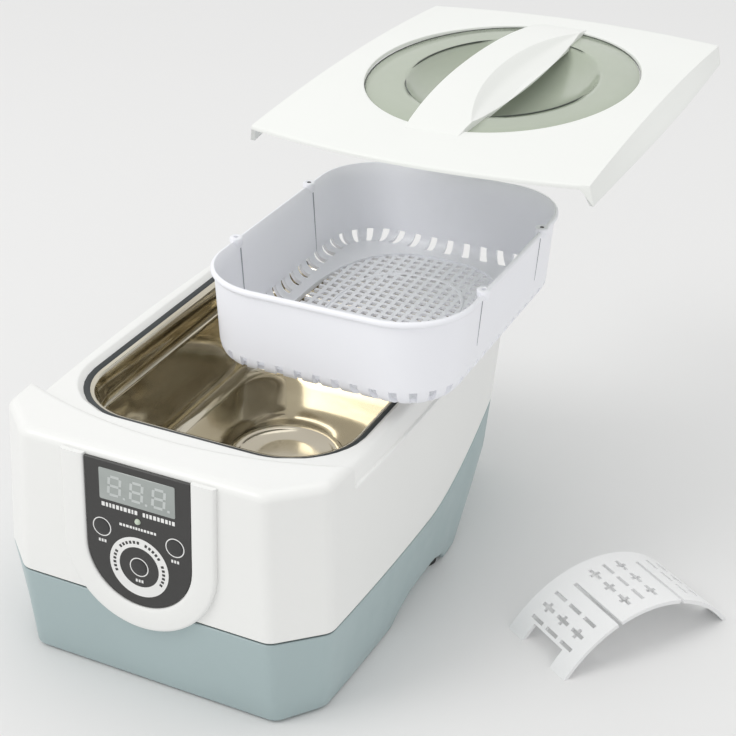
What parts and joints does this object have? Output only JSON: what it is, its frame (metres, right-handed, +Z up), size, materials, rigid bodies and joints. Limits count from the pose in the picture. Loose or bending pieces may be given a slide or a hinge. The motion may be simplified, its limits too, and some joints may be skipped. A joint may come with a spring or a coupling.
{
  "type": "ultrasonic cleaner",
  "caption": "Bench-top ultrasonic cleaner with a lidded steel tank, lift-out basket, arched watch rack and a timer panel, shown opened out.",
  "frame": {"origin": "Under the middle of the housing, on the surface the feet stand on.", "axes": "+X to the right seen from the control panel, +Y to the rear, +Z up."},
  "size_m": [0.3205, 0.3495, 0.2504],
  "materials": {
    "white_shell": "white moulded ABS, satin gloss",
    "grey_green_shell": "grey-green moulded ABS",
    "dark_label": "charcoal printed polycarbonate label",
    "display_grey": "smoked display window",
    "black_plastic": "black moulded plastic",
    "led_lens": "diffused lens",
    "circuit_board": "green circuit board",
    "button_grey": "dark grey button",
    "polished_steel": "polished stainless steel",
    "zinc_steel": "zinc-plated steel",
    "seal_rubber": "dark grey silicone rubber",
    "aluminium": "machined aluminium",
    "ceramic": "fired ceramic",
    "brass": "copper alloy",
    "red_plastic": "red-brown insulation",
    "foot_rubber": "black rubber",
    "basket_plastic": "bluish white polypropylene",
    "smoked_window": "translucent grey-green acrylic",
    "rack_plastic": "white polypropylene"
  },
  "bodies": {
    "base": {"upper_housing": "white_shell", "lower_shell": "grey_green_shell", "front_bezel": "white_shell", "control_label": "dark_label", "display_window": "display_grey", "display_module": "black_plastic", "indicator_led": "led_lens", "control_board": "circuit_board", "tact_switches": "black_plastic", "tank": "polished_steel", "tank_seal": "seal_rubber", "tank_clamps": "zinc_steel", "clamp_screws": "zinc_steel", "transducer_front_mass": "aluminium", "piezo_rings": "ceramic", "electrodes": "brass", "transducer_back_mass": "zinc_steel", "transducer_bolt": "zinc_steel", "driver_board": "circuit_board", "inductor": "brass", "heat_sink": "aluminium", "power_transistors": "black_plastic", "film_capacitors": "red_plastic", "fuse": "ceramic", "board_screws": "zinc_steel", "housing_screws": "zinc_steel", "rubber_feet": "foot_rubber", "power_inlet": "black_plastic", "inlet_pins": "brass", "inner_leads": "red_plastic"},
    "lid": {"lid_cover": "white_shell", "lid_window": "smoked_window", "window_clips": "white_shell"},
    "basket": {"basket": "basket_plastic"},
    "rack": {"watch_rack": "rack_plastic"},
    "down_key": {"timer_down_button": "button_grey"},
    "up_key": {"timer_up_button": "button_grey"},
    "start_key": {"start_button": "button_grey"}
  },
  "joints": [
    {"name": "lid_lift", "type": "slide", "parent": "base", "child": "lid", "axis": [0, 0, 1], "range_m": [0, 0.08]},
    {"name": "basket_lift", "type": "slide", "parent": "base", "child": "basket", "axis": [0, 0, 1], "range_m": [0, 0.03]},
    {"name": "rack_lift", "type": "slide", "parent": "base", "child": "rack", "axis": [0, 0, 1], "range_m": [0, 0.06]},
    {"name": "down_press", "type": "slide", "parent": "base", "child": "down_key", "axis": [0, 0.9992, -0.04], "range_m": [0, 0.0006], "stiffness_N_per_m": 1500},
    {"name": "up_press", "type": "slide", "parent": "base", "child": "up_key", "axis": [0, 0.9992, -0.04], "range_m": [0, 0.0006], "stiffness_N_per_m": 1500},
    {"name": "start_press", "type": "slide", "parent": "base", "child": "start_key", "axis": [0, 0.9992, -0.04], "range_m": [0, 0.0006], "stiffness_N_per_m": 1500}
  ]
}
